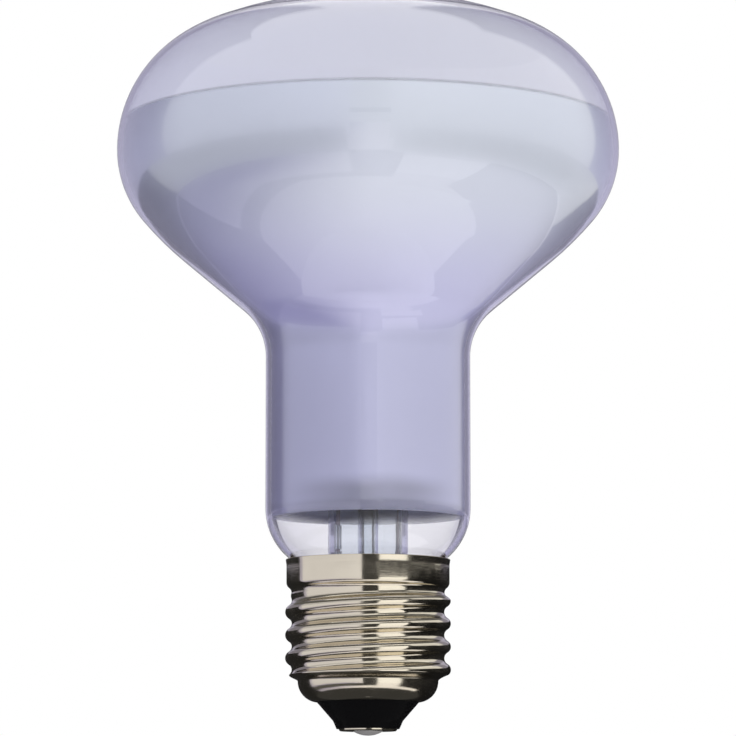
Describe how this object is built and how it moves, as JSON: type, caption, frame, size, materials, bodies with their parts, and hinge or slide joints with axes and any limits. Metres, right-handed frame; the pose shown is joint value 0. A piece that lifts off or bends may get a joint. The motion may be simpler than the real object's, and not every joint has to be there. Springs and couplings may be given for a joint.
{
  "type": "reptile basking bulb",
  "caption": "Blown mushroom reflector bulb, mirrored in its body and frosted on its dome, on a screw cap, that heats a basking spot.",
  "frame": {"origin": "lowest point of the solder on the centre contact, on the lamp's axis", "axes": "+Z along the lamp's axis from the centre contact to the crown of the dome; +X and +Y across it, with the two leads lying along X"},
  "size_m": [0.08, 0.08, 0.1175],
  "materials": {
    "lavender_glass": "polished outside, mirrored and frosted inside",
    "clear_glass": "fire polished",
    "black_glass": "moulded, glossy",
    "nickel_plate": "nickel plated, bright",
    "solder": "set from the melt",
    "copper_wire": "drawn",
    "nickel_wire": "drawn",
    "tungsten": "coiled wire",
    "cement": "baked, matt"
  },
  "bodies": {
    "root": {"glass_envelope": "lavender_glass", "glass_stem": "clear_glass", "exhaust_tube": "clear_glass", "support_rod": "clear_glass", "fuse_sleeve": "clear_glass", "filament": "tungsten", "filament_support_1": "tungsten", "filament_support_2": "tungsten", "filament_support_3": "tungsten", "inner_lead_left": "nickel_wire", "inner_lead_right": "nickel_wire", "seal_wire_left": "copper_wire", "seal_wire_right": "copper_wire", "stem_lead": "copper_wire", "fuse_wire": "nickel_wire", "centre_lead": "copper_wire", "side_lead": "copper_wire", "screw_shell": "nickel_plate", "cap_insulator": "black_glass", "centre_contact": "nickel_plate", "centre_solder": "solder", "side_solder": "solder", "basing_cement": "cement"}
  },
  "joints": []
}
